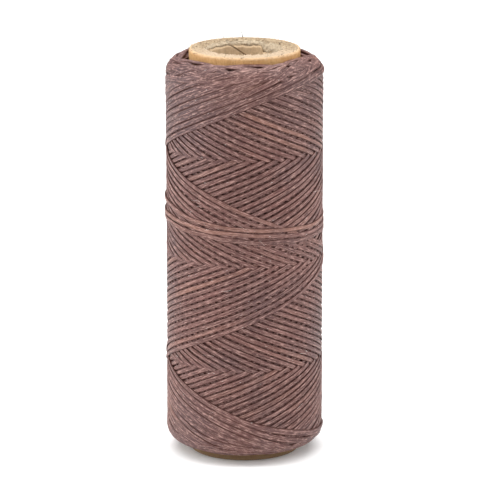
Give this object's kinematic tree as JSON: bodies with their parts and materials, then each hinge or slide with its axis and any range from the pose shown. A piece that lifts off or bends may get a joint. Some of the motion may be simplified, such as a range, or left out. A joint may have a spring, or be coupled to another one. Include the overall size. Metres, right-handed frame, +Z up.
{
  "type": "waxed thread spool",
  "caption": "Upright spool of flat waxed thread, cross-wound in steep crossing layers on a thick bare-ended paper tube with an open bore.",
  "frame": {"origin": "centre of the tube's lower end, on the surface it stands on", "axes": "+Z up along the tube's axis; -Y faces the viewer, +X to the right"},
  "size_m": [0.0328, 0.0328, 0.084],
  "materials": {
    "waxed_thread": "flat bundled filaments with a soft wax sheen",
    "kraft_paper": "matt, fibrous golden kraft",
    "core_board": "matt pale board, fuzzy where it is cut",
    "liner_paper": "matt grey-brown recycled paper"
  },
  "bodies": {
    "root": {"core_liner_ply": "liner_paper", "core_body_ply_1": "core_board", "core_body_ply_2": "core_board", "core_body_ply_3": "core_board", "core_outer_ply": "kraft_paper", "thread_layer_1": "waxed_thread", "thread_layer_2": "waxed_thread", "thread_layer_3": "waxed_thread", "thread_layer_4": "waxed_thread", "thread_layer_5": "waxed_thread", "thread_layer_6": "waxed_thread", "finishing_wraps": "waxed_thread"}
  },
  "joints": []
}
